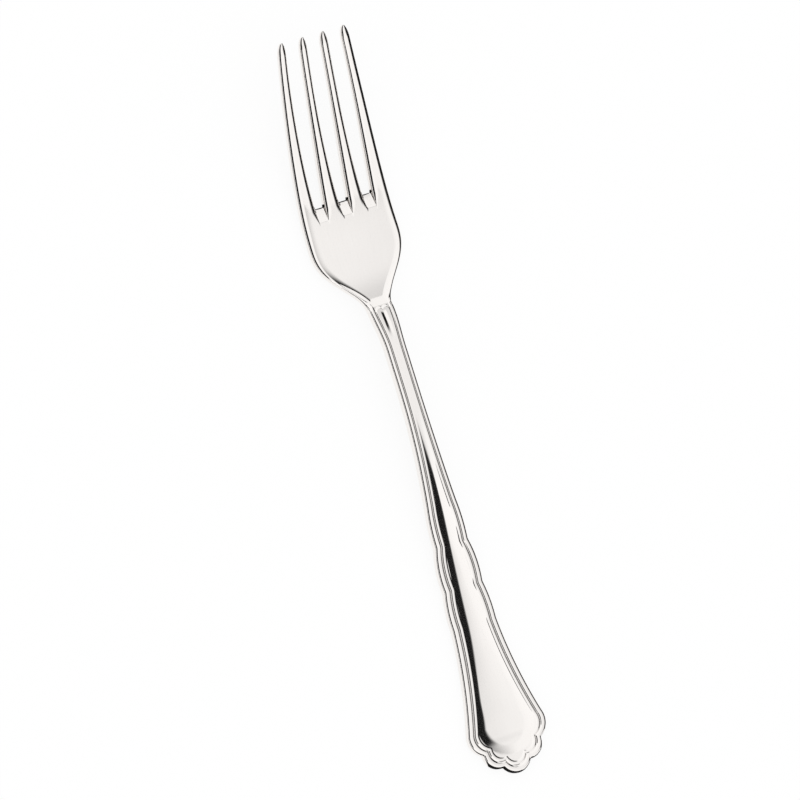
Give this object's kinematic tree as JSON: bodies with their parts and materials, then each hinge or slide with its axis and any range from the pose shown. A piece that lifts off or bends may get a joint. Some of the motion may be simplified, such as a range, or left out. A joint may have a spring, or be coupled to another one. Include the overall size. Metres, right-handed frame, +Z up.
{
  "type": "serving fork",
  "caption": "One-piece polished steel serving fork with slender curved tines, a dished bowl, an arched neck and a flared handle with a coined, scalloped border.",
  "frame": {"origin": "on the surface that the fork lies on, under the middle of its bounding box", "axes": "+Y along the fork from the handle end to the tine tips, +X to the right, +Z up, away from the surface that it lies on"},
  "size_m": [0.0322, 0.24, 0.0179],
  "materials": {
    "polished_steel": "mirror-polished stainless steel"
  },
  "bodies": {
    "root": {"fork": "polished_steel"}
  },
  "joints": []
}
